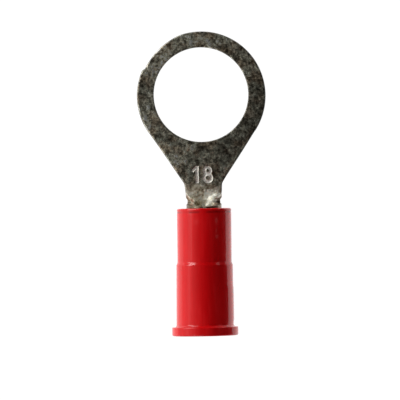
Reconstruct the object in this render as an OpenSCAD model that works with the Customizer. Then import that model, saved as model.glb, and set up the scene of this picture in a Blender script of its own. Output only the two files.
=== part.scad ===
/* [Ring tongue] */
// Diameter of the stud hole
stud_hole_d = 8.4; // [8.2:0.05:8.6]
// Outside diameter of the ring
ring_d = 11.5; // [11.2:0.02:12]
// How far the ring's outline is punched behind the hole's centre
ring_shift = 0.1; // [0:0.01:0.15]
// Thickness of the metal strip
strip_t = 0.76; // [0.7:0.02:0.82]
// Angle between each tapered side and the terminal's axis
taper_angle = 33.6; // [31:0.2:36]
// Depth of the shallow trim on the ring's edge
trim_depth = 0.2; // [0.1:0.02:0.3]
// Width of the rounding that the punch leaves on the upper outer edges
edge_roll = 0.1; // [0.06:0.02:0.14]
// Width of the rounding on the hole's upper edge
hole_roll = 0.07; // [0.04:0.01:0.1]
// Depth of the coined wire-size numerals
coin_depth = 0.09; // [0.04:0.01:0.12]

/* [Neck] */
// Plan width where the tapered sides end
neck_w = 3.25; // [3.16:0.01:3.4]
// Plan width halfway along the neck
neck_mid_w = 3.13; // [3.08:0.01:3.2]
// Plan width at the relief notch in front of the barrel
notch_w = 2.92; // [2.8:0.02:3.04]
// Distance from the hole's centre to where the flat neck starts to curl
neck_flat = 8.45; // [8.4:0.01:8.5]
// Distance from the hole's centre to the end of the curled neck
neck_end = 9.75; // [9.72:0.01:9.8]

/* [Wire barrel] */
// Inside diameter of the wire barrel
barrel_id = 1.62; // [1.56:0.02:1.7]
// Distance from the hole's centre to the barrel's front edge, at the bottom
barrel_front = 9.5; // [9.48:0.01:9.54]
// How much further back the barrel's front edge is at the seam
front_rake = 0.45; // [0.35:0.05:0.5]
// Distance from the hole's centre to the barrel's rear end
barrel_rear = 15.55; // [15.4:0.05:15.55]
// Gap between the butted edges of the seam
seam_gap = 0.06; // [0.04:0.01:0.1]

/* [Insulation sleeve] */
// Diameter of the front half of the sleeve
sleeve_front_d = 4.83; // [4.7:0.01:4.9]
// Diameter of the rear half, just behind the step
sleeve_rear_d = 5.03; // [4.96:0.01:5.08]
// Diameter just in front of the flange
sleeve_end_d = 5.1; // [5.06:0.01:5.2]
// Diameter of the flange at the wire entry
flange_d = 5.92; // [5.8:0.02:6.1]
// Thickness of the flange
flange_t = 0.82; // [0.7:0.02:0.9]
// Distance from the hole's centre to the sleeve's front rim
sleeve_front = 10.09; // [10.05:0.01:10.2]
// Distance from the hole's centre to the step at mid-length
sleeve_step = 14.89; // [14.8:0.01:14.95]
// Distance from the hole's centre to the sleeve's rear end
sleeve_rear = 21.45; // [21.4:0.05:21.8]

/* [Grip sleeve] */
// Inside diameter, which holds the wire's insulation
grip_id = 3.6; // [3.5:0.02:3.66]
// Wall thickness
grip_t = 0.25; // [0.2:0.01:0.26]
// Distance from the hole's centre to its front end
grip_front = 14.95; // [14.9:0.05:15.1]
// Distance from the hole's centre to its flared rear end
grip_rear = 21.2; // [21.1:0.05:21.25]

/* [Hidden] */

ring_r = ring_d / 2;
hole_r = stud_hole_d / 2;
bore_r = barrel_id / 2;
barrel_r = bore_r + strip_t;
// the barrel's axis is level with the strip: its lowest line is the tongue's underside
axis_z = barrel_r;
neutral_r = bore_r + strip_t / 2;
tangent_x = ring_r * cos(taper_angle);
tangent_y = -ring_shift - ring_r * sin(taper_angle);
// where the tapered sides meet the neck
neck_start = -tangent_y + (tangent_x - neck_w / 2) / tan(taper_angle);
steel = "#7f7a6e";
nylon = "#c01a20";
brass = "#b59a63";

function lerp(a, b, u) = a + (b - a) * u;
function smooth(u) = let (v = min(max(u, 0), 1)) v * v * (3 - 2 * v);

// puts a shape whose axis is +Z on the barrel's axis, with +Z turned towards the wire entry
module on_barrel_axis() {
    translate([0, 0, axis_z]) rotate([90, 0, 0]) children();
}

// ---------------------------------------------------------------- ring tongue

// flat outline of the tapered web, from the ring's tangent points to where the neck starts to curl
module web_outline() {
    polygon([
        [-tangent_x, tangent_y], [-neck_w / 2, -neck_start], [-neck_plan(0), -neck_flat],
        [neck_plan(0), -neck_flat], [neck_w / 2, -neck_start], [tangent_x, tangent_y]
    ]);
}

// shallow off-centre trim on the ring's edge, which starts at a kink and fades out
module edge_trim() {
    big = ring_r + 0.56;
    shift = 0.56 + trim_depth;
    linear_extrude(height = strip_t + 2)
        difference() {
            polygon([
                [ring_r * 0.9 * cos(157), ring_r * 0.9 * sin(157)],
                [ring_r * 1.2 * cos(163), ring_r * 1.2 * sin(163)],
                [ring_r * 1.3 * cos(130), ring_r * 1.3 * sin(130)],
                [ring_r * 1.2 * cos(96), ring_r * 1.2 * sin(96)],
                [ring_r * 0.9 * cos(96), ring_r * 0.9 * sin(96)]
            ]);
            translate([-shift * cos(146), -shift * sin(146)]) circle(r = big, $fn = 96);
        }
}

module numeral_one() {
    translate([-0.14, -0.75]) square([0.28, 1.5]);
    polygon([[-0.14, 0.75], [-0.46, 0.42], [-0.3, 0.26], [-0.14, 0.42]]);
}

module numeral_eight() {
    difference() {
        union() {
            translate([0, 0.35]) circle(r = 0.4, $fn = 32);
            translate([0, -0.29]) circle(r = 0.46, $fn = 32);
        }
        translate([0, 0.36]) circle(r = 0.15, $fn = 32);
        translate([0, -0.29]) circle(r = 0.2, $fn = 32);
    }
}

// what the punch's rounding takes off an upper outer edge: x is outwards, y is up
module roll_profile() {
    polygon([
        [0, -edge_roll], [-edge_roll * 0.3, -edge_roll * 0.3], [-edge_roll, 0],
        [-edge_roll, 0.3], [0.3, 0.3], [0.3, -edge_roll]
    ]);
}

// rounding along one tapered side, side 1 on the right and -1 on the left
module side_roll(side) {
    length = norm([tangent_x - neck_w / 2, neck_start + tangent_y]);
    mirror([side < 0 ? 1 : 0, 0, 0])
        translate([tangent_x, tangent_y, strip_t]) rotate([0, 0, -taper_angle]) rotate([90, 0, 0])
            linear_extrude(height = length) roll_profile();
}

module tongue() {
    difference() {
        union() {
            // ring, with rounded upper edge
            translate([0, -ring_shift, 0]) rotate_extrude($fn = 96)
                polygon([
                    [1, 0], [ring_r, 0], [ring_r, strip_t - edge_roll],
                    [ring_r - edge_roll * 0.3, strip_t - edge_roll * 0.3],
                    [ring_r - edge_roll, strip_t], [1, strip_t]
                ]);
            difference() {
                linear_extrude(height = strip_t) web_outline();
                side_roll(1);
                side_roll(-1);
            }
        }
        translate([0, 0, -1]) cylinder(h = strip_t + 2, r = hole_r, $fn = 96);
        translate([0, 0, strip_t - hole_roll])
            cylinder(h = 2 * hole_roll, r1 = hole_r, r2 = hole_r + 2 * hole_roll, $fn = 96);
        translate([0, -ring_shift, -1]) edge_trim();
        translate([-0.52, -7.12, strip_t - coin_depth]) linear_extrude(height = 1) numeral_one();
        translate([0.42, -7.12, strip_t - coin_depth]) linear_extrude(height = 1) numeral_eight();
    }
}

// ----------------------------------------------------------------------- neck

// the strip curls from flat to the barrel's radius along the neck
neck_steps = 12;
neck_pts = 12;
function neck_curl(u) = smooth(pow(u / 0.77, 1.8)) / neutral_r;
function neck_plan(u) =
    lerp((neck_w + neck_mid_w) / 2, neck_mid_w, smooth(u * 2.5)) / 2
    - (neck_mid_w - notch_w) / 2 * smooth((u - 0.54) / 0.2);
// near the barrel the surfaces draw in by a hair, to end inside its wall
function neck_draw(u) = 0.035 * smooth((u - 0.5) / 0.27);
// half angle of the curled strip that gives the wanted plan width
function neck_half(u) = let (k = neck_curl(u)) asin(neck_plan(u) / (1 / k + strip_t / 2));
// point of a section: s from -1 to 1 across the strip, side 1 below and -1 above
function neck_point(u, s, side) =
    let (k = neck_curl(u), off = side * (strip_t / 2 - neck_draw(u)))
    u == 0
        ? [s * neck_plan(u), -neck_flat, strip_t / 2 - off]
        : let (a = s * neck_half(u), r = 1 / k + off)
          [r * sin(a), -lerp(neck_flat, neck_end, u), strip_t / 2 + 1 / k - r * cos(a)];
function neck_ring(u) = concat(
    [for (i = [0:neck_pts]) neck_point(u, -1 + 2 * i / neck_pts, 1)],
    [for (i = [neck_pts:-1:0]) neck_point(u, -1 + 2 * i / neck_pts, -1)]);

module neck() {
    n = 2 * (neck_pts + 1);
    pts = [for (j = [0:neck_steps]) each neck_ring(j / neck_steps)];
    // the end caps are strips of quads between the lower and the upper line
    cap0 = [for (i = [0:neck_pts - 1]) [i, i + 1, n - 2 - i, n - 1 - i]];
    cap1 = [for (i = [0:neck_pts - 1]) [n - 1 - i, n - 2 - i, i + 1, i] + neck_steps * n * [1, 1, 1, 1]];
    sides = [for (j = [0:neck_steps - 1], i = [0:n - 1]) each
        let (a = j * n + i, b = j * n + (i + 1) % n, c = (j + 1) * n + (i + 1) % n, d = (j + 1) * n + i)
        // the diagonals mirror about the terminal's middle plane
        (i < neck_pts / 2 || i > n - 2 - neck_pts / 2 ? [[a, d, b], [b, d, c]] : [[a, d, c], [a, c, b]])];
    polyhedron(points = pts, faces = concat(cap0, cap1, sides), convexity = 6);
}

// ---------------------------------------------------------------- wire barrel

module barrel_tube() {
    length = barrel_rear - barrel_front;
    difference() {
        on_barrel_axis() translate([0, 0, barrel_front]) cylinder(h = length, r = barrel_r, $fn = 72);
        // raked front edge of the rolled wings
        translate([0, -barrel_front, 0]) rotate([atan(front_rake / (2 * barrel_r)), 0, 0])
            translate([-5, 0, -5]) cube([10, 5, 15]);
    }
}

module terminal_body() {
    color(steel) difference() {
        union() {
            tongue();
            neck();
            barrel_tube();
        }
        // wire bore, with a countersunk rear edge
        on_barrel_axis() translate([0, 0, barrel_front - 0.2]) cylinder(h = barrel_rear - barrel_front + 1, r = bore_r, $fn = 72);
        on_barrel_axis() translate([0, 0, barrel_rear - 0.18])
            cylinder(h = 0.3, r1 = bore_r, r2 = bore_r + 0.3, $fn = 72);
        // butted seam along the top
        translate([-seam_gap / 2, -barrel_rear - 1, axis_z]) cube([seam_gap, barrel_rear - barrel_front + 3, 4]);
    }
}

// ---------------------------------------------------------- insulation sleeve

// points of a quarter arc, from angle a to angle b about a centre
function arc(cx, cy, r, a, b, n = 5) = [for (i = [0:n]) let (t = lerp(a, b, i / n)) [cx + r * cos(t), cy + r * sin(t)]];

grip_or = grip_id / 2 + grip_t;
// the collar over the barrel's rear end has a slight draft
collar_or = barrel_r + grip_t;

module insulation_sleeve() {
    f = sleeve_front_d / 2;
    rear = sleeve_rear_d / 2;
    e = sleeve_end_d / 2;
    fl = flange_d / 2;
    flange_y = sleeve_rear - flange_t;
    color(nylon) on_barrel_axis() rotate_extrude($fn = 72)
        polygon(concat(
            [[barrel_r, sleeve_front]],
            arc(f - 0.16, sleeve_front + 0.16, 0.16, -90, 0),
            [[f, sleeve_step], [rear, sleeve_step + 0.26]],
            [for (i = [0:4]) let (t = lerp(180, 90, i / 4)) [e + 0.2 + 0.2 * cos(t), flange_y - 0.2 + 0.2 * sin(t)]],
            arc(fl - 0.1, flange_y + 0.1, 0.1, -90, 0, 3),
            arc(fl - 0.16, sleeve_rear - 0.16, 0.16, 0, 90, 4),
            [[grip_or + 0.45, sleeve_rear], [grip_or + 0.35, grip_rear], [grip_or, grip_rear - 0.6],
             [grip_or, grip_front + 1.15], [collar_or + 0.02, grip_front + 0.7], [collar_or - 0.02, grip_front],
             [barrel_r, grip_front]]
        ));
}

// ---------------------------------------------------------------- grip sleeve

module grip_sleeve() {
    ir = grip_id / 2;
    color(brass) on_barrel_axis() rotate_extrude($fn = 72)
        polygon([
            [barrel_r, grip_front], [collar_or - 0.02, grip_front], [collar_or + 0.02, grip_front + 0.7],
            [grip_or, grip_front + 1.15], [grip_or, grip_rear - 0.6], [grip_or + 0.35, grip_rear],
            [ir + 0.31, grip_rear], [ir, grip_rear - 0.53], [ir, grip_front + 1.08],
            [barrel_r, grip_front + 0.63]
        ]);
}

terminal_body();
insulation_sleeve();
grip_sleeve();
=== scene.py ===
import math
import bpy
import numpy as np
from mathutils import Matrix, Vector
from mathutils.geometry import delaunay_2d_cdt


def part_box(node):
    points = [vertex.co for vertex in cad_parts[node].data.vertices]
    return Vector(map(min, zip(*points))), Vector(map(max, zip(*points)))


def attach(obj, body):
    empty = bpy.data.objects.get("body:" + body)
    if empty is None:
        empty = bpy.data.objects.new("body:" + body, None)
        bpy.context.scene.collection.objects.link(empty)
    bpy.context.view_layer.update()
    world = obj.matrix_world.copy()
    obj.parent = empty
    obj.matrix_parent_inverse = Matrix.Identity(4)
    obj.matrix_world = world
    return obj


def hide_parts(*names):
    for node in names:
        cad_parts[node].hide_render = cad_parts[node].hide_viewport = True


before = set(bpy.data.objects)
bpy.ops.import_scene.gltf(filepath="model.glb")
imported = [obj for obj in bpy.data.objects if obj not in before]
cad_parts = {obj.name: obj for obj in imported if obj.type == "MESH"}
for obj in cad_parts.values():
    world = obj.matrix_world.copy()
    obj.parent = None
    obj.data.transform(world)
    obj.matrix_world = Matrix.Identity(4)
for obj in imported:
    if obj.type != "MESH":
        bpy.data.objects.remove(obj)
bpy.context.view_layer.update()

# Everything below is worked out in millimetres in the row frame, then written in metres.
MM = 0.001


def node_box(name):
    lo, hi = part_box(name)
    return np.array(lo) / MM, np.array(hi) / MM


TB_LO, TB_HI = node_box("terminal_body")
SL_LO, SL_HI = node_box("insulation_sleeve")
GR_LO, GR_HI = node_box("grip_sleeve")

RING_R = TB_HI[0] - 0.018
BARREL_R = round(TB_HI[2] / 2, 3)
STRIP_T = 0.76
HOLE_R = 4.2
NEUTRAL_R = BARREL_R - STRIP_T / 2
AXIS_Z = BARREL_R
BARREL_REAR = -TB_LO[1]
TAPER = math.radians(33.6)
# the ring's outline is punched a little off the hole's centre
RING_X, RING_Y = 0.02, -0.098
TAN_X, TAN_Y = RING_R * math.cos(TAPER), RING_Y - RING_R * math.sin(TAPER)
NECK_W, NECK_MID, NOTCH_W = 3.30, 3.24, 2.97
NECK_0 = -TAN_Y + (TAN_X - NECK_W / 2) / math.tan(TAPER)
FLAT_END, NECK_1 = 8.42, 9.75
SEAM_HALF = math.pi * NEUTRAL_R - 0.03


def smooth(v):
    v = np.clip(v, 0, 1)
    return v * v * (3 - 2 * v)


# ------------------------------------------------------------------ value noise
def lattice(ix, iy, iz, seed):
    h = (ix * 73856093) ^ (iy * 19349663) ^ (iz * 83492791) ^ (seed * 2654435761)
    h = (h ^ (h >> 13)) * 1274126177
    h = (h ^ (h >> 16)) & 0xFFFFFF
    return h / float(0xFFFFFF) * 2 - 1


def vnoise(p, seed):
    """Smooth value noise, -1 to 1, at the rows of p."""
    p = np.asarray(p, float)
    i = np.floor(p).astype(np.int64)
    f = p - i
    f = f * f * f * (f * (f * 6 - 15) + 10)
    out = 0.0
    for dx in (0, 1):
        for dy in (0, 1):
            for dz in (0, 1):
                w = (
                    (f[:, 0] if dx else 1 - f[:, 0])
                    * (f[:, 1] if dy else 1 - f[:, 1])
                    * (f[:, 2] if dz else 1 - f[:, 2])
                )
                out = out + w * lattice(i[:, 0] + dx, i[:, 1] + dy, i[:, 2] + dz, seed)
    return out


def fbm(p, seed, octaves=3, gain=0.5):
    p = np.asarray(p, float)
    total, amp, norm = 0.0, 1.0, 0.0
    for o in range(octaves):
        total = total + amp * vnoise(p * 2.03**o + 17.3 * o, seed + 31 * o)
        norm += amp
        amp *= gain
    return total / norm


def noise2(w, y, scale, seed, octaves=3):
    w, y = np.asarray(w, float), np.asarray(y, float)
    return fbm(np.stack([w * scale, y * scale, np.zeros_like(w)], 1), seed, octaves)


# ------------------------------------------------------------ how the part is bent
def set_x(y):
    """The barrel sits a few hundredths of a millimetre to one side of the tongue, and leans back."""
    s = -np.asarray(y, float)
    return 0.028 * smooth((s - 3) / 2) + 0.057 * smooth((s - 7) / 2.2) - 0.0088 * np.maximum(s - 10.0, 0)


def curl(s):
    u = np.clip((np.asarray(s, float) - FLAT_END) / 1.06, 0, 1)
    return smooth(u ** 1.9) / NEUTRAL_R


def bend(w, y, n):
    """From the flat blank (across, along, height in the strip) to the rolled part."""
    w, y, n = (np.asarray(v, float) for v in (w, y, n))
    k = curl(-y)
    a = w * k
    h = n - STRIP_T / 2
    x = w * np.sinc(a / math.pi) - h * np.sin(a)
    z = STRIP_T / 2 + w * np.sin(a / 2) * np.sinc(a / 2 / math.pi) + h * np.cos(a)
    return np.stack([x + set_x(y), y, z], 1)


# ------------------------------------------------------------------ the blank's outline
def neck_w(s):
    """Half width of the blank at distance s behind the hole's centre."""
    plan = (NECK_W + (NECK_MID - NECK_W) * smooth((s - NECK_0) / 0.9)) / 2
    plan = plan - (NECK_MID - NOTCH_W) / 2 * smooth((s - 9.12) / 0.27)
    k = np.maximum(curl(s), 1e-6)
    return np.arcsin(np.clip(plan / (1 / k + STRIP_T / 2), -1, 1)) / k


def side_w(s):
    taper = 1.625 + (NECK_0 - s) * math.tan(TAPER)
    base = neck_w(s)
    return (taper + base + np.sqrt((taper - base) ** 2 + 0.1**2)) / 2


def wing_front(w):
    return -(9.5 + 0.225 * (1 - np.cos(w / NEUTRAL_R)))


def arc_pts(cx, cy, r, a0, a1, n):
    t = np.radians(np.linspace(a0, a1, n))
    return np.stack([cx + r * np.cos(t), cy + r * np.sin(t)], 1)


def right_side():
    """From the ring's tangent point down to the middle of the rear edge."""
    v_s = 9.61
    s = np.concatenate([np.arange(-TAN_Y, 6.9, 0.075), np.arange(6.9, v_s, 0.04)])
    taper = np.stack([side_w(s), -s], 1)
    taper[0] = (TAN_X, TAN_Y)
    w = np.arange(1.52, SEAM_HALF - 0.2, 0.05)
    front = np.stack([w, wing_front(w)], 1)
    top, rear = float(wing_front(SEAM_HALF)), -BARREL_REAR
    c1 = arc_pts(SEAM_HALF - 0.17, top - 0.17, 0.17, 90, 0, 9)
    side_y = np.arange(top - 0.25, rear + 0.34, -0.08)
    side = np.stack([np.full_like(side_y, SEAM_HALF), side_y], 1)
    c2 = arc_pts(SEAM_HALF - 0.26, rear + 0.26, 0.26, 0, -90, 11)
    back_w = np.arange(SEAM_HALF - 0.33, 0.03, -0.07)
    back = np.stack([back_w, np.full_like(back_w, rear)], 1)
    return np.concatenate([taper, [[1.462, -v_s]], front, c1, side, c2, back])


def ring_radius(t):
    """Outer radius at angle t in degrees: a shallow off-centre trim starts at a kink and fades out."""
    t = np.asarray(t, float)
    d = np.stack([np.cos(np.radians(t)), np.sin(np.radians(t))], 1)

    def circle(cx, cy, r):
        c = np.array([cx, cy])
        dot = d @ c
        return dot + np.sqrt(r**2 - c @ c + dot**2)

    full = circle(RING_X, RING_Y, RING_R)
    trimmed = np.where((t > 90) & (t < 165), np.minimum(full, circle(0.663, -0.447, 6.29)), full)
    u = smooth((t - 153.4) / 3.9)
    return np.where(t > 153.4, trimmed * (1 - u) + full * u, trimmed)


def outline():
    t0 = math.degrees(math.atan2(TAN_Y, TAN_X + RING_X))
    t1 = math.degrees(math.atan2(-TAN_Y, TAN_X - RING_X)) + 180
    t = np.concatenate([np.arange(t0 + 0.7, 150, 0.8), np.arange(150, 165, 0.35), np.arange(165, t1 - 0.4, 0.8)])
    r = ring_radius(t)
    r = r - 0.012 * (0.5 + 0.5 * noise2(t * 0.1, t * 0, 0.55, 5, 2)) * smooth((t - 60) / 40) * smooth((190 - t) / 30)
    ring = np.stack([r * np.cos(np.radians(t)), r * np.sin(np.radians(t))], 1)
    right = right_side()
    left = right * [-1, 1]
    lean = RING_X * (1 - smooth((-right[:, 1] - 5) / 3))
    right[:, 0] += lean
    left[:, 0] += lean
    # counter-clockwise: up the right side, round the ring, down the left side, along the rear
    return np.concatenate([right[::-1], ring, left])


def inward(loop, sign=1.0):
    """Unit normals of a closed loop, to the left of its direction."""
    e = np.roll(loop, -1, 0) - loop
    e /= np.linalg.norm(e, axis=1, keepdims=True)
    n = np.stack([-e[:, 1], e[:, 0]], 1)
    m = n + np.roll(n, 1, 0)
    m /= np.linalg.norm(m, axis=1, keepdims=True)
    return m * sign


# ---------------------------------------------------------------- coined numerals
def numeral_distance(w, y):
    """Distance to the strokes of the wire-size numerals, negative inside."""
    def seg(px, py, ax, ay, bx, by, r):
        ex, ey = bx - ax, by - ay
        t = np.clip(((px - ax) * ex + (py - ay) * ey) / (ex * ex + ey * ey), 0, 1)
        return np.hypot(px - ax - t * ex, py - ay - t * ey) - r

    x1, y1 = w + 0.52, y + 7.12
    bar = np.maximum(np.abs(x1) - 0.14, np.abs(y1) - 0.75)
    one = np.minimum(bar, seg(x1, y1, -0.37, 0.35, -0.04, 0.67, 0.105))
    x8 = w - 0.42
    outer = np.minimum(np.hypot(x8, y1 - 0.35) - 0.4, np.hypot(x8, y1 + 0.29) - 0.46)
    eight = np.maximum(outer, np.maximum(0.15 - np.hypot(x8, y1 - 0.36), 0.2 - np.hypot(x8, y1 + 0.29)))
    return np.minimum(one, eight)


def coined(w, y):
    """(height, how much it is inside a stroke)"""
    d = numeral_distance(w, y)
    m = smooth((0.03 - d) / 0.045)
    # the walls slope, the right one more gently, since the die was struck a little askew
    deep = 0.45 * smooth((0.02 - d) / 0.07) + 0.55 * smooth((0.06 - numeral_distance(w - 0.05, y - 0.035)) / 0.17)
    burr = smooth((0.025 - numeral_distance(w - 0.085, y + 0.01)) / 0.07) * (1 - m)
    floor = -0.085 + 0.02 * noise2(w, y, 6.0, 71, 2)
    return deep * m * floor + 0.035 * burr, m


def neck_mask(y):
    s = -np.asarray(y, float)
    return smooth((s - 8.2) / 0.7) * smooth((10.5 - s) / 0.5)


def highlight_patch_mask(w, y):
    """The uneven patch on the right of the neck, in front of the barrel, where the painted highlight goes."""
    s = -np.asarray(y, float)
    far = np.hypot((w - 0.74) / 0.80, (s - 9.22) / 0.86)
    return smooth((1.05 - far + 0.6 * noise2(w, y, 2.4, 63, 3)) / 0.28)


def top_height(w, y):
    """Relief of the upper face: the tongue is nearly flat, and the neck is puckered by the roll forming."""
    h, m = coined(w, y)
    wave = 0.006 * noise2(w, y, 0.7, 3, 2) + 0.0035 * noise2(w, y, 3.1, 9, 3)
    lumps = 0.05 * noise2(w * 1.15, y, 2.4, 21, 3) + 0.014 * noise2(w, y, 6.5, 27, 2)
    crease = -0.045 * np.exp(-(((w + 0.25) / 0.15) ** 2)) * smooth((-y - 8.8) / 0.5) * smooth((10.2 - (-y)) / 0.4)
    fill = highlight_patch_mask(w, y) * smooth((1.46 - w) / 0.22)
    lumps = lumps + fill * 0.07 * smooth(((w - 0.1) * 0.5 + (-y - 8.6) * 0.7) / 1.2)
    serration = 0.0
    for s0 in (11.3, 12.2, 13.1, 14.0):
        serration = serration - 0.055 * smooth(1 - np.abs((-y - s0) / 0.17))
    return h + wave * (1 - m) + (lumps + crease) * neck_mask(y) + serration, m


def bottom_height(w, y):
    return 0.004 * (1 + noise2(w, y, 1.6, 41, 3)) + 0.008 * (1 + noise2(w, y, 3.5, 43, 2)) * neck_mask(y)


# ------------------------------------------------------------------- terminal body
# (distance in from the outline, height in the strip): punched edge, rolled over at the top
EDGE = np.array([
    [0.125, 0.760], [0.088, 0.7525], [0.056, 0.739], [0.031, 0.718], [0.013, 0.688], [0.003, 0.650],
    [0.000, 0.600], [0.000, 0.520], [0.000, 0.430], [0.006, 0.330], [0.010, 0.230], [0.008, 0.130],
    [0.004, 0.060], [0.012, 0.018], [0.035, 0.000],
])
EDGE_REAR = np.array([
    [0.215, 0.760], [0.180, 0.728], [0.140, 0.690], [0.100, 0.650], [0.058, 0.610], [0.025, 0.578],
    [0.006, 0.548], [0.000, 0.500], [0.000, 0.430], [0.000, 0.330], [0.000, 0.230], [0.000, 0.130],
    [0.006, 0.060], [0.022, 0.018], [0.060, 0.000],
])
EDGE_HOLE = EDGE.copy()
EDGE_HOLE[:, 0] = EDGE[:, 0] * 0.72
EDGE_HOLE[:6, 1] = 0.76 - (0.76 - EDGE[:6, 1]) * 0.72


def inside(points, loop):
    """True where a point is inside the closed loop."""
    out = np.zeros(len(points), bool)
    x, y = points[:, 0], points[:, 1]
    x0, y0 = loop[:, 0], loop[:, 1]
    x1, y1 = np.roll(x0, -1), np.roll(y0, -1)
    for a, b, c, d in zip(x0, y0, x1, y1):
        if b == d:
            continue
        hit = (b > y) != (d > y)
        if hit.any():
            cross = a + (y - b) * (c - a) / (d - b)
            out ^= hit & (x < cross)
    return out


def far_from(points, loop, distance):
    out = np.ones(len(points), bool)
    for k in range(0, len(points), 4000):
        p = points[k:k + 4000]
        d = np.min((p[:, None, 0] - loop[None, :, 0]) ** 2 + (p[:, None, 1] - loop[None, :, 1]) ** 2, 1)
        out[k:k + 4000] = d > distance**2
    return out


def hex_grid(x0, x1, y0, y1, h):
    ys = np.arange(y0, y1, h * 0.866)
    pts = []
    for i, yy in enumerate(ys):
        xs = np.arange(x0 + (h / 2 if i % 2 else 0), x1, h)
        pts.append(np.stack([xs, np.full_like(xs, yy)], 1))
    return np.concatenate(pts)


def steiner(h_tongue, h_neck, h_barrel, h_mark):
    """Inner points of the blank: closer together at the neck and at the numerals."""
    def not_in(p, b):
        return ~((p[:, 0] > b[0]) & (p[:, 0] < b[1]) & (p[:, 1] > b[2]) & (p[:, 1] < b[3]))

    mark = (-1.12, 1.08, -8.02, -6.22)
    neck = (-2.3, 2.3, -10.4, -7.6)
    a = hex_grid(-5.8, 5.8, -9.0, 5.8, h_tongue)
    b = hex_grid(neck[0], neck[1], neck[2], neck[3], h_neck)
    c = hex_grid(-3.8, 3.8, -15.6, -9.0, h_barrel)
    out = [a[not_in(a, neck)], c[not_in(c, neck)], b]
    if h_mark:
        m = hex_grid(mark[0], mark[1], mark[2], mark[3], h_mark)
        out = [p[not_in(p, mark)] for p in out] + [m]
    return np.concatenate(out)


def face_mesh(outer, hole, points, gap):
    """Triangles between two loops, through inner points: (coordinates, triangles), the loops first."""
    keep = inside(points, outer) & ~inside(points, hole)
    points = points[keep]
    points = points[far_from(points, outer, gap) & far_from(points, hole, gap)]
    rng = np.random.default_rng(11)
    points = points + rng.uniform(-0.006, 0.006, points.shape)
    co = np.concatenate([outer, hole, points])
    n, m = len(outer), len(hole)
    edges = [(i, (i + 1) % n) for i in range(n)] + [(n + i, n + (i + 1) % m) for i in range(m)]
    got = delaunay_2d_cdt([Vector(p) for p in co], edges, [], 0, 1e-7)
    if len(got[0]) != len(co):
        raise RuntimeError("the blank's outline crosses itself")
    order = np.array([o[0] for o in got[3]])
    tri = order[np.array([f for f in got[2]])]
    mid = co[tri].mean(1)
    tri = tri[inside(mid, outer) & ~inside(mid, hole)]
    p = co[tri]
    area = (p[:, 1, 0] - p[:, 0, 0]) * (p[:, 2, 1] - p[:, 0, 1]) - (p[:, 2, 0] - p[:, 0, 0]) * (p[:, 1, 1] - p[:, 0, 1])
    tri[area < 0] = tri[area < 0][:, ::-1]
    return co, tri[np.abs(area) > 1e-9]


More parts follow.
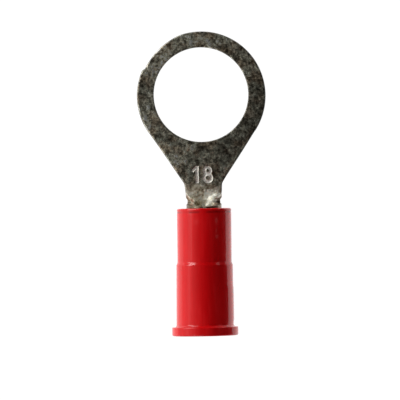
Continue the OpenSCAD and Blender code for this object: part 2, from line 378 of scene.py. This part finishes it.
def build_terminal():
    rim = outline()
    rim_in = inward(rim)
    t = np.radians(np.arange(0, 360, 0.9))
    hole = np.stack([HOLE_R * np.cos(t), HOLE_R * np.sin(t)], 1)
    hole_out = hole / HOLE_R
    rear = smooth((-rim[:, 1] - (BARREL_REAR - 0.35)) / 0.25)[:, None]
    levels = len(EDGE)
    rim_levels, hole_levels = [], []
    for j in range(levels):
        d = EDGE[j, 0] * (1 - rear) + EDGE_REAR[j, 0] * rear
        n = EDGE[j, 1] * (1 - rear[:, 0]) + EDGE_REAR[j, 1] * rear[:, 0]
        rough = smooth((0.42 - EDGE[j, 1]) / 0.12) * smooth(EDGE[j, 1] / 0.05)
        p = rim + rim_in * d
        torn = noise2(rim[:, 0] * 2.2 + EDGE[j, 1] * 1.3, rim[:, 1] * 2.2, 2.4, 51, 3)
        p = p + rim_in * (0.012 * rough * (1 + torn))[:, None]
        rim_levels.append((p, n))
        dh, nh = EDGE_HOLE[j]
        torn = noise2(hole[:, 0] * 2.2 + EDGE[j, 1] * 1.3, hole[:, 1] * 2.2, 2.4, 57, 3)
        ph = hole + hole_out * (dh + 0.010 * rough * (1 + torn))[:, None]
        hole_levels.append((ph, np.full(len(hole), nh)))

    inner = steiner(0.1, 0.055, 0.1, 0.032)
    top_co, top_tri = face_mesh(rim_levels[0][0], hole_levels[0][0], inner, 0.045)
    inner = steiner(0.13, 0.08, 0.1, None)
    bot_co, bot_tri = face_mesh(rim_levels[-1][0], hole_levels[-1][0], inner, 0.05)

    co, height, wall, mark, edge, under = [], [], [], [], [], []
    h, m = top_height(top_co[:, 0], top_co[:, 1])
    co.append(top_co)
    height.append(STRIP_T + h)
    wall.append(np.zeros(len(top_co)))
    edge.append(np.zeros(len(top_co)))
    under.append(np.zeros(len(top_co)))
    mark.append(m)
    start_bot = len(top_co)
    co.append(bot_co)
    height.append(bottom_height(bot_co[:, 0], bot_co[:, 1]))
    wall.append(np.zeros(len(bot_co)))
    edge.append(np.zeros(len(bot_co)))
    under.append(np.ones(len(bot_co)))
    mark.append(np.zeros(len(bot_co)))
    faces = [top_tri, bot_tri[:, ::-1] + start_bot]
    total = start_bot + len(bot_co)

    def add_wall(level_list, top_start, bot_start, flip):
        nonlocal total
        n = len(level_list[0][0])
        ids = [np.arange(top_start, top_start + n)]
        for j in range(1, levels - 1):
            p, hh = level_list[j]
            f = EDGE[j, 1] / STRIP_T
            top = top_height(p[:, 0], p[:, 1])[0]
            low = bottom_height(p[:, 0], p[:, 1])
            co.append(p)
            height.append(hh + top * f + low * (1 - f))
            wall.append(np.full(n, float(smooth((0.70 - EDGE[j, 1]) / 0.14))))
            edge.append(np.full(n, float(smooth((0.757 - EDGE[j, 1]) / 0.04))))
            under.append(np.full(n, float(smooth((0.5 - EDGE[j, 1]) / 0.3))))
            mark.append(np.zeros(n))
            ids.append(np.arange(total, total + n))
            total += n
        ids.append(np.arange(bot_start, bot_start + n))
        for a, b in zip(ids[:-1], ids[1:]):
            a2, b2 = np.roll(a, -1), np.roll(b, -1)
            q = np.stack([a, b, b2, a2], 1) if not flip else np.stack([a2, b2, b, a], 1)
            faces.append(q)

    n_rim = len(rim)
    add_wall(rim_levels, 0, start_bot, False)
    add_wall(hole_levels, n_rim, start_bot + n_rim, True)
    co = np.concatenate(co)
    height = np.concatenate(height)
    pts = bend(co[:, 0], co[:, 1], height)
    return pts, faces, {
        "wall": np.concatenate(wall), "mark": np.concatenate(mark), "edge": np.concatenate(edge),
        "under": np.concatenate(under), "flat_w": co[:, 0],
    }


def make_object(name, pts, faces, attributes=None, mat=None):
    mesh = bpy.data.meshes.new(name)
    polys = []
    for f in faces:
        polys.extend(f.tolist())
    mesh.from_pydata((pts * MM).tolist(), [], polys)
    mesh.update()
    mesh.shade_smooth()
    for key, value in (attributes or {}).items():
        at = mesh.attributes.new(key, "FLOAT", "POINT")
        at.data.foreach_set("value", np.asarray(value, np.float32))
    if mesh.validate():
        raise RuntimeError(f"{name}: the mesh had faults")
    obj = bpy.data.objects.new(name, mesh)
    bpy.context.scene.collection.objects.link(obj)
    if mat is not None:
        mesh.materials.append(mat)
    return obj


# --------------------------------------------------------------- turned sleeves
def rounded(corners, spacing):
    """Closed profile of (radius, distance back) points with rounded corners, fine at the corners."""
    c = np.array([k[:2] for k in corners], float)
    r = [k[2] for k in corners]
    n = len(c)
    ends = []
    for i in range(n):
        p, a, b = c[i], c[i - 1], c[(i + 1) % n]
        u, v = (a - p), (b - p)
        lu, lv = np.linalg.norm(u), np.linalg.norm(v)
        u, v = u / lu, v / lv
        half = math.acos(max(-1, min(1, float(u @ v)))) / 2
        cut = r[i] / math.tan(half)
        centre = p + (u + v) / np.linalg.norm(u + v) * (r[i] / math.sin(half))
        s, e = p + u * cut, p + v * cut
        a0 = math.atan2(*(s - centre)[::-1])
        a1 = math.atan2(*(e - centre)[::-1])
        d = (a1 - a0 + math.pi) % (2 * math.pi) - math.pi
        steps = max(3, int(math.ceil(abs(d) / math.radians(13))))
        ends.append([centre + r[i] * np.array([math.cos(a0 + d * t / steps), math.sin(a0 + d * t / steps)]) for t in range(steps + 1)])
    out = []
    for i in range(n):
        out.extend(ends[i])
        p, q = ends[i][-1], ends[(i + 1) % n][0]
        length = float(np.linalg.norm(q - p))
        if length < 0.03:
            continue
        hold = min(0.03, length * 0.3)
        ts = [hold / length]
        m = max(1, int(length / spacing))
        ts += [hold / length + (1 - 2 * hold / length) * k / m for k in range(1, m)]
        ts.append(1 - hold / length)
        out.extend(p + (q - p) * t for t in ts)
    return np.array(out)


def revolve(profile, segments, change=None):
    """Turns a closed profile about the barrel's axis."""
    n = len(profile)
    t = np.linspace(0, 2 * math.pi, segments, endpoint=False)
    r = np.tile(profile[:, 0], (segments, 1))
    s = np.tile(profile[:, 1], (segments, 1))
    a = np.tile(t[:, None], (1, n))
    if change:
        r, s = change(r, s, a)
    # the angle is from straight up, positive to the right
    y = -s.ravel()
    pts = np.stack([r.ravel() * np.sin(a.ravel()) + set_x(y), y, AXIS_Z + r.ravel() * np.cos(a.ravel())], 1)
    i = np.arange(segments)[:, None] * n
    j = np.arange(n)[None, :]
    i2 = (np.arange(segments)[:, None] + 1) % segments * n
    j2 = (j + 1) % n
    quads = np.stack([i + j, i2 + j, i2 + j2, i + j2], -1).reshape(-1, 4)
    return pts, [quads]


def area_sign(pts, faces):
    """Positive if the faces point outwards."""
    vol = 0.0
    for f in faces:
        p = pts[f]
        for k in range(1, f.shape[1] - 1):
            vol += np.sum(np.einsum("ij,ij->i", p[:, 0], np.cross(p[:, k], p[:, k + 1])))
    return vol


FRONT_R, REAR_R, END_R, FLANGE_R = 2.415, 2.515, 2.55, SL_HI[0]
SL_FRONT, SL_REAR = -SL_HI[1], -SL_LO[1]
STEP_S = 14.89
FLANGE_S = SL_REAR - 0.82
GR_FRONT, GR_REAR = -GR_HI[1], -GR_LO[1]


def sleeve_change(r, s, a):
    """The moulding isn't perfect: a ragged front rim, a flow line, slight waves, and a swelling near the wire entry."""
    out_side = smooth((r - 2.2) / 0.12)
    ca, sa = np.cos(a), np.sin(a)
    flat = np.stack([ca.ravel() * 1.7, sa.ravel() * 1.7, s.ravel() * 0.05], 1)
    rag = fbm(flat * 1.6, 81, 3).reshape(r.shape)
    front = smooth((SL_FRONT + 0.6 - s) / 0.6)
    s = s + front * (0.022 + 0.022 * rag)
    wave = fbm(np.stack([ca.ravel() * 1.2, sa.ravel() * 1.2, s.ravel() * 0.22], 1), 83, 2).reshape(r.shape)
    ripple = fbm(np.stack([ca.ravel() * 9, sa.ravel() * 9, s.ravel() * 0.5], 1), 85, 2).reshape(r.shape)
    limit = smooth((FLANGE_S - 0.35 - s) / 0.3)
    body = out_side * limit
    r = r + body * (0.006 * wave + 0.002 * ripple)
    # a shallow line just behind the front rim
    lip = np.exp(-(((s - (SL_FRONT + 0.30 + 0.05 * rag)) / 0.075) ** 2))
    r = r - out_side * lip * (0.016 + 0.012 * rag)
    # flow line along the front half, to the right of the top
    line = np.exp(-(((a - math.radians(25.5)) / 0.05) ** 2)) * smooth((13.8 - s) / 2.0)
    blotch = fbm(np.stack([ca.ravel() * 2, sa.ravel() * 2, s.ravel() * 1.9], 1), 87, 2).reshape(r.shape)
    r = r + out_side * line * 0.016 * smooth(0.35 + 1.3 * blotch)
    # the right side of the rear half stands out a little further from about a third of its length
    right = smooth((np.sin(a) - 0.35) / 0.5)
    r = r + body * right * 0.035 * smooth((s - 16.8) / 0.5)
    rim = out_side * smooth((s - (FLANGE_S + 0.02)) / 0.1)
    r = r - rim * 0.012 * (1 + wave)
    s = s - smooth((s - (SL_REAR - 0.25)) / 0.25) * 0.012 * (1 + wave)
    return r, s


def build_sleeve():
    corners = [
        (BARREL_R + 0.004, SL_FRONT, 0.035), (FRONT_R, SL_FRONT, 0.15), (FRONT_R, STEP_S, 0.10),
        (REAR_R, STEP_S + 0.26, 0.12), (END_R, FLANGE_S, 0.2), (FLANGE_R, FLANGE_S, 0.11),
        (FLANGE_R, SL_REAR, 0.16), (2.50, SL_REAR, 0.08), (2.405, GR_REAR, 0.03), (2.055, GR_REAR - 0.6, 0.1),
        (2.055, GR_FRONT + 1.15, 0.06), (1.845, GR_FRONT + 0.7, 0.06), (1.805, GR_FRONT, 0.03),
        (BARREL_R + 0.004, GR_FRONT, 0.03),
    ]
    return revolve(rounded(corners, 0.16), 224, sleeve_change)


def scuffs_and_painted_shade(pts):
    """Where the nylon is scuffed: a wandering line with blotches along the front half, and a fainter straight one; also
    the painted shade of the crease just behind the front rim.
    """
    y = pts[:, 1]
    s = -y
    a = np.arctan2(pts[:, 0] - set_x(y), pts[:, 2] - AXIS_Z)
    outer = smooth((np.hypot(pts[:, 0] - set_x(y), pts[:, 2] - AXIS_Z) - 2.25) / 0.1)
    wander = 0.035 * noise2(s * 0, s, 1.7, 95, 2)
    broken = smooth(0.45 + 1.5 * noise2(s * 0 + 4, s, 1.9, 97, 2))
    line = 0.75 * broken * np.exp(-(((a - 0.445 - wander) / 0.034) ** 2)) * smooth((s - 10.3) / 0.2) * smooth((13.6 - s) / 0.8)
    for a0, s0, da, ds, k in ((0.462, 11.2, 0.055, 0.24, 0.8), (0.475, 12.62, 0.06, 0.15, 0.9), (-0.30, 11.3, 0.10, 0.25, 0.25)):
        line = np.maximum(line, k * np.exp(-(((a - a0) / da) ** 2) - ((s - s0) / ds) ** 2))
    straight = 0.30 * np.exp(-(((a + 0.498) / 0.022) ** 2)) * smooth((s - 10.2) / 0.3) * smooth((STEP_S - s) / 0.4)
    rag = fbm(np.stack([np.cos(a) * 2.7, np.sin(a) * 2.7, s * 0.08], 1), 81, 3)
    # painted shade: a dark line along the crease just behind the front rim
    crease = np.exp(-(((s - (SL_FRONT + 0.33 + 0.07 * rag)) / 0.065) ** 2)) * smooth(0.75 + rag)
    return {"scuff": outer * np.maximum(line, straight), "crease": 0.8 * outer * crease}


def grip_change(r, s, a):
    wave = fbm(np.stack([np.cos(a).ravel() * 1.5, np.sin(a).ravel() * 1.5, s.ravel() * 0.3], 1), 91, 2).reshape(r.shape)
    r = r - 0.006 * (1 + wave) * smooth((2.2 - r) / 0.3)
    s = s - smooth((s - (GR_REAR - 0.2)) / 0.2) * 0.01 * (1 + wave)
    return r, s


def build_grip():
    corners = [
        (BARREL_R + 0.004, GR_FRONT, 0.03), (1.80, GR_FRONT, 0.08), (1.84, GR_FRONT + 0.7, 0.1),
        (2.05, GR_FRONT + 1.15, 0.12), (2.05, GR_REAR - 0.6, 0.3), (GR_HI[0], GR_REAR, 0.06),
        (2.15, GR_REAR, 0.08), (1.80, GR_REAR - 0.53, 0.35), (1.80, GR_FRONT + 1.08, 0.12),
        (BARREL_R + 0.004, GR_FRONT + 0.63, 0.05),
    ]
    return revolve(rounded(corners, 0.2), 160, grip_change)


# ---------------------------------------------------------------------- materials
class Nodes:
    def __init__(self, name):
        self.mat = bpy.data.materials.new(name)
        self.mat.use_nodes = True
        self.tree = self.mat.node_tree
        self.tree.nodes.clear()
        self.out = self.add("ShaderNodeOutputMaterial")
        self.coord = self.add("ShaderNodeTexCoord")

    def add(self, kind, **values):
        n = self.tree.nodes.new(kind)
        for k, v in values.items():
            setattr(n, k, v)
        return n

    def link(self, a, b):
        self.tree.links.new(a, b)

    def mapped(self, scale, offset=(0, 0, 0)):
        m = self.add("ShaderNodeMapping")
        m.inputs["Scale"].default_value = scale
        m.inputs["Location"].default_value = offset
        self.link(self.coord.outputs["Object"], m.inputs["Vector"])
        return m.outputs["Vector"]

    def noise(self, vector, scale, detail=2.0, rough=0.5, distortion=0.0):
        n = self.add("ShaderNodeTexNoise")
        n.inputs["Scale"].default_value = scale
        n.inputs["Detail"].default_value = detail
        n.inputs["Roughness"].default_value = rough
        n.inputs["Distortion"].default_value = distortion
        self.link(vector, n.inputs["Vector"])
        return n.outputs["Fac"]

    def ramp(self, fac, stops):
        r = self.add("ShaderNodeValToRGB")
        while len(r.color_ramp.elements) > 1:
            r.color_ramp.elements.remove(r.color_ramp.elements[-1])
        for i, (p, c) in enumerate(stops):
            e = r.color_ramp.elements[0] if i == 0 else r.color_ramp.elements.new(p)
            e.position = p
            e.color = (*c, 1) if len(c) == 3 else c
        self.link(fac, r.inputs["Fac"])
        return r.outputs["Color"]

    def grey(self, fac, stops):
        return self.ramp(fac, [(p, (v, v, v)) for p, v in stops])

    def mix(self, fac, a, b, mode="MIX"):
        m = self.add("ShaderNodeMix", data_type="RGBA", blend_type=mode)
        for socket, value in ((m.inputs[0], fac), (m.inputs[6], a), (m.inputs[7], b)):
            if isinstance(value, bpy.types.NodeSocket):
                self.link(value, socket)
            elif isinstance(value, tuple):
                socket.default_value = (*value, 1)
            else:
                socket.default_value = value
        return m.outputs[2]

    def math(self, op, a, b=None, c=None, clamp=False):
        m = self.add("ShaderNodeMath", operation=op, use_clamp=clamp)
        for i, value in enumerate((a, b, c)):
            if value is None:
                continue
            if isinstance(value, bpy.types.NodeSocket):
                self.link(value, m.inputs[i])
            else:
                m.inputs[i].default_value = value
        return m.outputs[0]

    def attribute(self, name):
        a = self.add("ShaderNodeAttribute", attribute_name=name)
        return a.outputs["Fac"]

    def bump(self, height, strength, distance, normal=None):
        b = self.add("ShaderNodeBump")
        b.inputs["Strength"].default_value = strength
        b.inputs["Distance"].default_value = distance
        self.link(height, b.inputs["Height"])
        if normal is not None:
            self.link(normal, b.inputs["Normal"])
        return b.outputs["Normal"]

    def principled(self, **constants):
        p = self.add("ShaderNodeBsdfPrincipled")
        for k, v in constants.items():
            p.inputs[k].default_value = v
        self.link(p.outputs["BSDF"], self.out.inputs["Surface"])
        return p


def tin_material():
    n = Nodes("tinned copper")
    v = n.mapped((1000, 1000, 1000))
    blob = n.noise(v, 1.8, 3.0, 0.55, 0.3)
    speck = n.noise(v, 4.6, 3.0, 0.6)
    cloud = n.noise(n.mapped((1000, 1000, 1000), (3.1, 7.7, 0.0)), 0.55, 2.0, 0.5)
    grain = n.noise(n.mapped((1000, 1000, 1000), (9.0, 1.0, 4.0)), 12.0, 2.0, 0.6)
    stain = n.noise(n.mapped((1000, 1000, 1000), (5.1, 2.7, 8.0)), 1.1, 3.0, 0.55)

    tone = n.math("ADD", n.math("MULTIPLY", blob, 0.5), n.math("MULTIPLY", speck, 0.5))
    base = n.ramp(tone, [
        (0.36, (0.030, 0.026, 0.020)), (0.43, (0.110, 0.098, 0.078)), (0.50, (0.290, 0.268, 0.222)),
        (0.57, (0.620, 0.590, 0.500)), (0.64, (0.900, 0.870, 0.780)),
    ])
    tint = n.ramp(stain, [(0.38, (0.98, 0.84, 0.68)), (0.46, (1.0, 0.96, 0.87)), (0.54, (0.97, 1.0, 0.90)), (0.62, (0.92, 0.98, 0.92))])
    base = n.mix(0.8, base, tint, "MULTIPLY")
    # the colour is brighter towards the ring's upper left and duller towards its right, in broad drifts
    place = n.add("ShaderNodeSeparateXYZ")
    n.link(v, place.inputs[0])
    tone_x = n.math("MULTIPLY_ADD", place.outputs[0], -0.060, 0.95)
    level = n.math("ADD", n.math("MULTIPLY_ADD", place.outputs[1], 0.032, 0.06), tone_x)
    drift = n.math("MULTIPLY_ADD", cloud, 3.4, -0.25)
    level = n.math("MULTIPLY", level, drift)
    shade = n.add("ShaderNodeCombineXYZ")
    for i in range(3):
        n.link(level, shade.inputs[i])
    base = n.mix(1.0, base, shade.outputs[0], "MULTIPLY")
    # towards the neck the tin turns pale and olive
    pale = n.attribute("pale")
    olive = n.ramp(tone, [(0.38, (0.22, 0.185, 0.12)), (0.45, (0.48, 0.42, 0.30)), (0.52, (0.74, 0.69, 0.53)), (0.60, (0.95, 0.92, 0.80))])
    base = n.mix(pale, base, olive)
    # painted highlight: the numerals' strokes are painted near white in speckles, standing in for glints off their
    # walls
    mark = n.attribute("mark")
    mark_glints = n.grey(speck, [(0.38, 0.65), (0.50, 1.0)])
    base = n.mix(n.math("MULTIPLY", mark, mark_glints), base, (0.98, 0.95, 0.88))
    # the roll-formed neck has a warm tone with brown streaks, and its top face is also painted bright as a highlight
    neck = n.attribute("neck")
    warm_tone_and_highlight = n.ramp(tone, [
        (0.37, (0.22, 0.15, 0.080)), (0.43, (0.56, 0.46, 0.30)), (0.49, (0.86, 0.79, 0.60)), (0.56, (0.98, 0.95, 0.81)),
    ])
    base = n.mix(neck, base, warm_tone_and_highlight)
    # copper shows where the tin was sheared away, in patches
    wall = n.attribute("wall")
    patch = n.grey(n.noise(v, 3.2, 3.0, 0.6), [(0.42, 0.0), (0.56, 1.0)])
    copper_at = n.attribute("copper")
    copper = n.ramp(speck, [(0.38, (0.10, 0.035, 0.018)), (0.5, (0.45, 0.21, 0.11)), (0.62, (0.85, 0.56, 0.38))])
    bare = n.math("MULTIPLY", n.math("MULTIPLY", wall, copper_at), patch, clamp=True)
    base = n.mix(bare, base, copper)
    away = n.math("SUBTRACT", 1.0, n.math("MULTIPLY", copper_at, 0.7))
    base = n.mix(n.math("MULTIPLY", n.math("MULTIPLY", wall, 0.45), away), base, (0.10, 0.092, 0.080))
    # painted highlight: near-white metal on the right of the neck, where the trough's right wall catches the light
    painted_highlight = n.attribute("painted_highlight")
    painted_highlight_colour = n.ramp(speck, [(0.38, (0.74, 0.68, 0.52)), (0.46, (0.97, 0.94, 0.80)), (0.56, (0.99, 0.98, 0.88))])
    base = n.mix(painted_highlight, base, painted_highlight_colour)
    # rolled edges are smooth and grey, and the underside by the barrel is dark
    edge = n.attribute("edge")
    off_neck = n.math("MULTIPLY_ADD", copper_at, -0.7, 0.72)
    rolled = n.math("MULTIPLY", edge, off_neck, clamp=True)
    base = n.mix(n.math("MULTIPLY", rolled, 1.3, clamp=True), base, (0.20, 0.20, 0.195))
    dull = n.mix(n.math("MULTIPLY", n.math("MULTIPLY", n.attribute("under"), copper_at), 0.8), base, (0.17, 0.13, 0.085))

    rough = n.grey(n.math("ADD", n.math("MULTIPLY", blob, 0.5), n.math("MULTIPLY", grain, 0.5)),
                   [(0.36, 0.58), (0.50, 0.38), (0.64, 0.24)])
    matt = n.math("MAXIMUM", n.math("MULTIPLY", mark, 0.80), n.math("MULTIPLY", neck, 0.55))
    matt = n.math("MAXIMUM", matt, n.math("MULTIPLY", painted_highlight, 0.45))
    matt = n.math("MAXIMUM", matt, n.math("MULTIPLY", pale, 0.62))
    metallic = n.math("SUBTRACT", 0.93, matt)
    metallic = n.math("MULTIPLY", metallic, n.math("SUBTRACT", 1.0, n.math("MULTIPLY", rolled, 1.35, clamp=True)))
    rough = n.math("MAXIMUM", rough, n.math("MULTIPLY", n.math("MAXIMUM", rolled, painted_highlight), 0.52))
    p = n.principled()
    n.link(dull, p.inputs["Base Color"])
    n.link(metallic, p.inputs["Metallic"])
    n.link(rough, p.inputs["Roughness"])
    b1 = n.bump(blob, 0.7, 0.000110)
    b2 = n.bump(speck, 0.7, 0.000034, b1)
    b3 = n.bump(grain, 0.5, 0.000012, b2)
    n.link(b3, p.inputs["Normal"])
    return n.mat


def nylon_material():
    n = Nodes("red nylon")
    v = n.mapped((1000, 1000, 1000))
    along = n.mapped((1000, 120, 1000), (1.7, 0.3, 2.2))
    streak = n.noise(along, 1.6, 3.0, 0.6)
    mottle = n.noise(v, 0.9, 3.0, 0.55)
    fine = n.noise(v, 7.0, 2.0, 0.5)
    base = n.ramp(streak, [(0.35, (0.80, 0.0020, 0.0045)), (0.5, (0.86, 0.0030, 0.0060)), (0.65, (0.92, 0.0090, 0.0120))])
    base = n.mix(n.math("MULTIPLY", mottle, 0.25), base, (0.74, 0.0015, 0.004))
    scuff = n.attribute("scuff")
    base = n.mix(scuff, base, (0.95, 0.06, 0.06))
    # painted shade in the crease just behind the front rim
    base = n.mix(n.attribute("crease"), base, (0.30, 0.0008, 0.0016))
    rough = n.math("MULTIPLY_ADD", scuff, 0.40, n.grey(mottle, [(0.3, 0.17), (0.7, 0.12)]))
    p = n.principled(Metallic=0.0, IOR=1.53)
    n.link(base, p.inputs["Base Color"])
    n.link(rough, p.inputs["Roughness"])
    b1 = n.bump(streak, 0.25, 0.000020)
    b2 = n.bump(mottle, 0.25, 0.000030, b1)
    b3 = n.bump(fine, 0.18, 0.000004, b2)
    n.link(b3, p.inputs["Normal"])
    return n.mat


def grip_material():
    n = Nodes("grip sleeve metal")
    v = n.mapped((1000, 1000, 1000), (2.0, 0.0, 5.0))
    round_scratch = n.noise(n.mapped((600, 6000, 600)), 1.0, 3.0, 0.6)
    blob = n.noise(v, 1.4, 3.0, 0.6)
    base = n.ramp(blob, [(0.35, (0.50, 0.36, 0.18)), (0.5, (0.66, 0.50, 0.27)), (0.65, (0.76, 0.62, 0.38))])
    rough = n.grey(blob, [(0.3, 0.42), (0.7, 0.28)])
    p = n.principled(Metallic=1.0)
    n.link(base, p.inputs["Base Color"])
    n.link(rough, p.inputs["Roughness"])
    b1 = n.bump(round_scratch, 0.3, 0.000012)
    b2 = n.bump(blob, 0.3, 0.000030, b1)
    n.link(b2, p.inputs["Normal"])
    return n.mat


# ------------------------------------------------------------------------ pieces
tin, nylon, grip_metal = tin_material(), nylon_material(), grip_material()

pts, faces, attrs = build_terminal()
if area_sign(pts, faces) < 0:
    faces = [f[:, ::-1] for f in faces]
s_all = -pts[:, 1]
attrs["copper"] = smooth((s_all - 8.5) / 0.6) * smooth((11.0 - s_all) / 0.6)
ragged = 0.28 * noise2(attrs["flat_w"], pts[:, 1], 2.2, 61, 3)
w_all = attrs["flat_w"]
lit = (1 - attrs["under"]) * smooth((11.0 - s_all) / 0.6)
# painted highlight on the neck's top face, a quarter weaker on its left where the slope faces away from the light
attrs["neck"] = smooth((s_all + ragged - 8.75) / 0.45) * lit * (1 - 0.25 * smooth((-w_all - 0.1) / 0.5))
attrs["pale"] = smooth((s_all + 1.6 * ragged - 7.3) / 1.3) * lit * (1 - 0.35 * smooth((w_all + 0.1) / 0.5))
# painted highlight patch on the neck's top face
attrs["painted_highlight"] = highlight_patch_mask(w_all, pts[:, 1]) * lit
terminal = make_object("terminal_body_detail", pts, faces, attrs, tin)

pts, faces = build_sleeve()
if area_sign(pts, faces) < 0:
    faces = [f[:, ::-1] for f in faces]
sleeve = make_object("insulation_sleeve_detail", pts, faces, scuffs_and_painted_shade(pts), nylon)

pts, faces = build_grip()
if area_sign(pts, faces) < 0:
    faces = [f[:, ::-1] for f in faces]
grip = make_object("grip_sleeve_detail", pts, faces, None, grip_metal)

for piece, node, slot in (
    (terminal, "terminal_body", "tinned_copper"),
    (sleeve, "insulation_sleeve", "red_nylon"),
    (grip, "grip_sleeve", "grip_metal"),
):
    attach(piece, "root")
    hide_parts(node)

# ------------------------------------------------------------------------- stage
# The part rests on the ring's tip and on the flange, so the floor is tilted in the part's frame.
y_tip, z_tip = TB_HI[1], 0.0
tilt = math.atan2(z_tip - SL_LO[2], y_tip - SL_LO[1])
on_floor = Matrix.Translation((0, y_tip * MM, (z_tip - 0.004) * MM)) @ Matrix.Rotation(tilt, 4, "X")


def plane(name, corners, place, strength, grey):
    """A flat stage piece that glows softly and is clear from below."""
    mesh = bpy.data.meshes.new(name)
    mesh.from_pydata(corners, [], [tuple(range(len(corners)))])
    obj = bpy.data.objects.new(name, mesh)
    bpy.context.scene.collection.objects.link(obj)
    obj.matrix_world = place
    n = Nodes(name)
    shine = n.add("ShaderNodeEmission")
    shine.inputs["Color"].default_value = (1, 1, 1, 1)
    shine.inputs["Strength"].default_value = strength
    matt = n.add("ShaderNodeBsdfDiffuse")
    matt.inputs["Color"].default_value = (grey, grey, grey, 1)
    both = n.add("ShaderNodeAddShader")
    n.link(shine.outputs[0], both.inputs[0])
    n.link(matt.outputs[0], both.inputs[1])
    geometry = n.add("ShaderNodeNewGeometry")
    clear = n.add("ShaderNodeBsdfTransparent")
    sides = n.add("ShaderNodeMixShader")
    n.link(geometry.outputs["Backfacing"], sides.inputs[0])
    n.link(both.outputs[0], sides.inputs[1])
    n.link(clear.outputs[0], sides.inputs[2])
    n.link(sides.outputs[0], n.out.inputs["Surface"])
    mesh.materials.append(n.mat)
    return obj


floor = plane("floor", [(-1.5, -1.5, 0), (1.5, -1.5, 0), (1.5, 1.5, 0), (-1.5, 1.5, 0)], on_floor, 1.0, 0.15)
floor.visible_glossy = False
# the lit patch of the table, which is what shows in the gloss
card = plane("light_table", [
    (0.018 * math.cos(t) * 1.0, -0.0141 + 0.030 * math.sin(t), 0) for t in np.radians(np.arange(0, 360, 7.5))
], on_floor @ Matrix.Translation((0, 0, -0.00002)), 1.08, 0.0)
card.visible_camera = card.visible_diffuse = card.visible_shadow = False

# ------------------------------------------------------------------- soft light
world = bpy.data.worlds.new("studio")
bpy.context.scene.world = world
world.use_nodes = True
wt = world.node_tree
wt.nodes.clear()
wo = wt.nodes.new("ShaderNodeOutputWorld")
tc = wt.nodes.new("ShaderNodeTexCoord")
sep = wt.nodes.new("ShaderNodeSeparateXYZ")
wt.links.new(tc.outputs["Generated"], sep.inputs[0])
ramp = wt.nodes.new("ShaderNodeValToRGB")
mr = wt.nodes.new("ShaderNodeMapRange")
mr.inputs["From Min"].default_value = 1.0
mr.inputs["From Max"].default_value = -1.0
wt.links.new(sep.outputs["X"], mr.inputs["Value"])
wt.links.new(mr.outputs["Result"], ramp.inputs["Fac"])
stops = [(0.0, 0.012), (0.45, 0.02), (0.5, 0.035), (0.645, 0.08), (0.78, 0.22), (0.895, 0.45), (0.94, 0.62), (0.953, 0.95),
         (0.962, 0.95), (0.972, 0.66), (1.0, 0.66)]
els = ramp.color_ramp.elements
while len(els) > 1:
    els.remove(els[-1])
for i, (pos, val) in enumerate(stops):
    e = els[0] if i == 0 else els.new(pos)
    e.position, e.color = pos, (val, val, val * 0.985, 1)
studio = wt.nodes.new("ShaderNodeBackground")
wt.links.new(ramp.outputs["Color"], studio.inputs["Color"])
pale = wt.nodes.new("ShaderNodeBackground")
pale.inputs["Color"].default_value = (0.94, 0.94, 0.94, 1)
path = wt.nodes.new("ShaderNodeLightPath")
mixw = wt.nodes.new("ShaderNodeMixShader")
wt.links.new(path.outputs["Is Camera Ray"], mixw.inputs[0])
wt.links.new(studio.outputs[0], mixw.inputs[1])
wt.links.new(pale.outputs[0], mixw.inputs[2])
wt.links.new(mixw.outputs[0], wo.inputs["Surface"])


def area_light(name, direction, distance, wide, high, radiance):
    """A soft box aimed at the part, with the given radiance."""
    data = bpy.data.lights.new(name, "AREA")
    data.shape = "RECTANGLE"
    data.size, data.size_y = wide, high
    data.energy = radiance * math.pi * wide * high
    obj = bpy.data.objects.new(name, data)
    bpy.context.scene.collection.objects.link(obj)
    obj.location = Vector((0, -0.008, 0.0015)) + Vector(direction).normalized() * distance
    aim = Vector((0, -0.008, 0.0015)) - obj.location
    obj.rotation_mode = "QUATERNION"
    obj.rotation_quaternion = aim.to_track_quat("-Z", "Y")
    obj.visible_camera = False
    return obj


area_light("left key", (-0.73, 0.56, 0.39), 0.5, 0.50, 0.19, 4.9)
area_light("rear top", (-0.45, -0.68, 0.58), 0.5, 0.40, 0.40, 1.15)
area_light("right fill", (0.78, 0.51, 0.35), 0.5, 0.22, 0.10, 0.8)

# ------------------------------------------------------------------------ camera
PX = 0.0889 * MM
HEIGHT = 0.570
cam_data = bpy.data.cameras.new("camera")
cam_data.type = "PERSP"
cam_data.sensor_width = 36
cam_data.lens = 36 * (HEIGHT / (400 * PX))
cam_data.clip_start, cam_data.clip_end = 0.05, 10
cam = bpy.data.objects.new("camera", cam_data)
bpy.context.scene.collection.objects.link(cam)
roll = math.radians(1.076)
cam.rotation_mode = "XYZ"
cam.rotation_euler = (0, 0, -roll)
# the hole's centre lands at (200.94, 94.55) of the 400 x 400 frame
right = Vector((math.cos(roll), -math.sin(roll), 0))
up = Vector((math.sin(roll), math.cos(roll), 0))
centre = Vector((0, 0, 0)) - right * (0.94 * PX) - up * (105.45 * PX)
cam.location = centre + Vector((0, 0, HEIGHT + 0.001))
bpy.context.scene.camera = cam
bpy.context.scene.view_settings.view_transform = "Standard"
